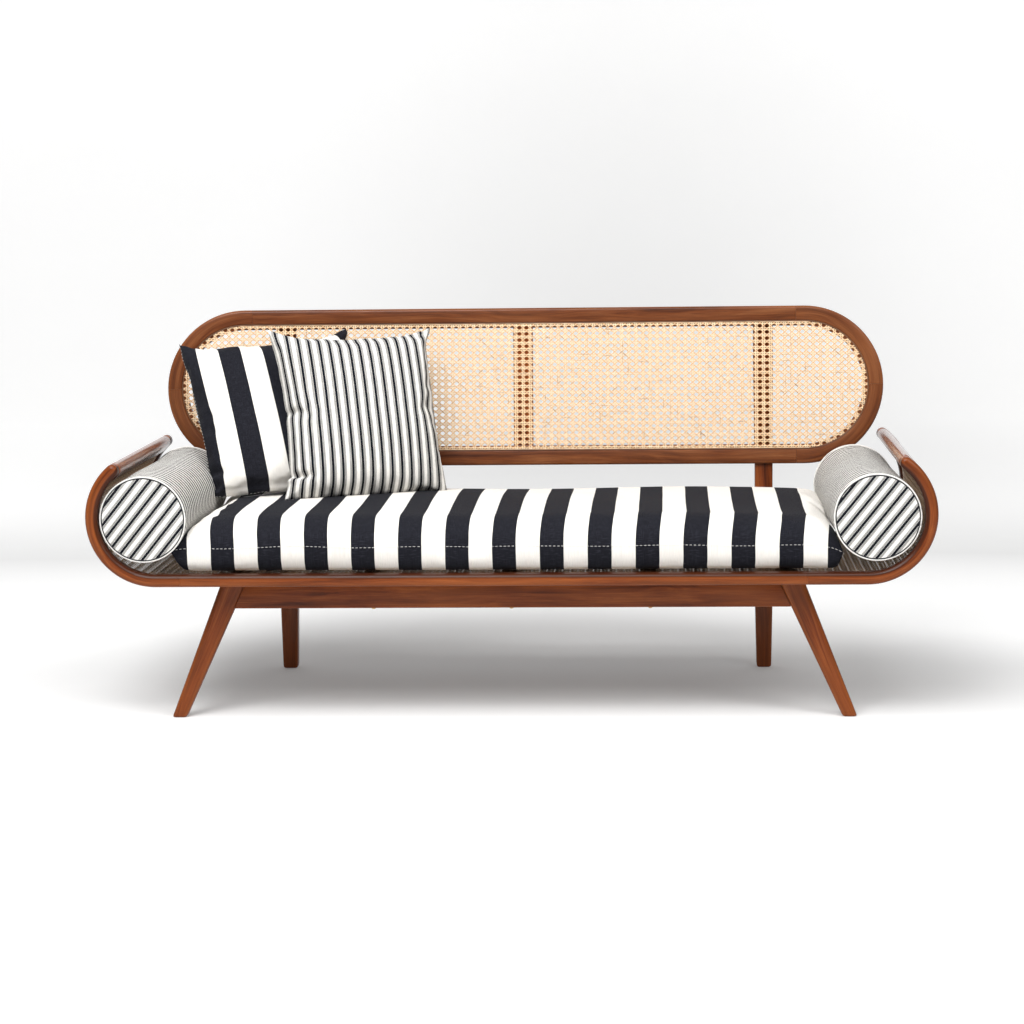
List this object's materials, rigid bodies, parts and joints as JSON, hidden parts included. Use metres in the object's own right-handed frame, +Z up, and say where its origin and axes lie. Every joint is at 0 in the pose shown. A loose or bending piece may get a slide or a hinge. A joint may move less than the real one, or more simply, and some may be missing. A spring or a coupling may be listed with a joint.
{
  "type": "daybed",
  "caption": "Daybed with a boat-shaped wooden seat frame, curled arms, an oval caned backrest, a striped seat cushion, pillows and bolsters.",
  "frame": {"origin": "on the floor, at the centre of the bottom of the bounding box, with the cushions in place", "axes": "+X to the right along the length as seen from the front, +Y from the front edge towards the backrest, +Z up"},
  "size_m": [1.8498, 0.7816, 0.8694],
  "materials": {
    "teak": "satin",
    "woven_cane": "satin",
    "cane_spline": "satin",
    "brass_screw": "satin",
    "wide_stripe_canvas": "matte",
    "ticking_stripe_cotton": "matte",
    "cushion_filling": "matte",
    "zip_tape": "matte"
  },
  "bodies": {
    "root": {"front_rail": "teak", "front_left_arm_bow": "teak", "front_right_arm_bow": "teak", "rear_rail": "teak", "rear_left_arm_bow": "teak", "rear_right_arm_bow": "teak", "left_armrest": "teak", "right_armrest": "teak", "seat_slat_1": "teak", "seat_slat_2": "teak", "seat_slat_3": "teak", "seat_slat_4": "teak", "seat_slat_5": "teak", "left_front_leg": "teak", "right_front_leg": "teak", "front_apron": "teak", "rear_apron": "teak", "left_side_rail": "teak", "right_side_rail": "teak", "left_back_post": "teak", "right_back_post": "teak", "backrest_top_rail": "teak", "backrest_bottom_rail": "teak", "backrest_left_upper_bow": "teak", "backrest_left_lower_bow": "teak", "backrest_right_upper_bow": "teak", "backrest_right_lower_bow": "teak", "backrest_center_slat": "teak", "backrest_cane": "woven_cane", "seat_cane": "woven_cane", "left_arm_cane": "woven_cane", "right_arm_cane": "woven_cane", "backrest_cane_spline": "cane_spline", "left_post_top_screw": "brass_screw", "left_post_bottom_screw": "brass_screw", "right_post_top_screw": "brass_screw", "right_post_bottom_screw": "brass_screw", "left_post_bolt": "brass_screw", "right_post_bolt": "brass_screw", "apron_left_screw": "brass_screw", "apron_center_screw": "brass_screw", "apron_right_screw": "brass_screw"},
    "seat_cushion": {"seat_cushion_cover": "wide_stripe_canvas", "seat_cushion_insert": "cushion_filling", "seat_cushion_zip": "zip_tape"},
    "striped_pillow": {"striped_pillow_cover": "wide_stripe_canvas", "striped_pillow_insert": "cushion_filling", "striped_pillow_zip": "zip_tape"},
    "ticking_pillow": {"ticking_pillow_cover": "ticking_stripe_cotton", "ticking_pillow_insert": "cushion_filling", "ticking_pillow_zip": "zip_tape"},
    "left_bolster": {"left_bolster_cover": "ticking_stripe_cotton", "left_bolster_insert": "cushion_filling", "left_bolster_zip": "zip_tape"},
    "right_bolster": {"right_bolster_cover": "ticking_stripe_cotton", "right_bolster_insert": "cushion_filling", "right_bolster_zip": "zip_tape"}
  },
  "joints": [
    {"name": "seat_cushion_lift", "type": "slide", "parent": "root", "child": "seat_cushion", "axis": [0, 0, 1], "range_m": [0, 0.3]},
    {"name": "striped_pillow_lift", "type": "slide", "parent": "seat_cushion", "child": "striped_pillow", "axis": [0, 0, 1], "range_m": [0, 0.15]},
    {"name": "ticking_pillow_lift", "type": "slide", "parent": "striped_pillow", "child": "ticking_pillow", "axis": [0, 0, 1], "range_m": [0, 0.15]},
    {"name": "left_bolster_pull", "type": "slide", "parent": "root", "child": "left_bolster", "axis": [0.0079, -1, -0.0044], "range_m": [0, 0.7]},
    {"name": "right_bolster_pull", "type": "slide", "parent": "root", "child": "right_bolster", "axis": [0.0166, -0.9999, 0], "range_m": [0, 0.7]}
  ]
}
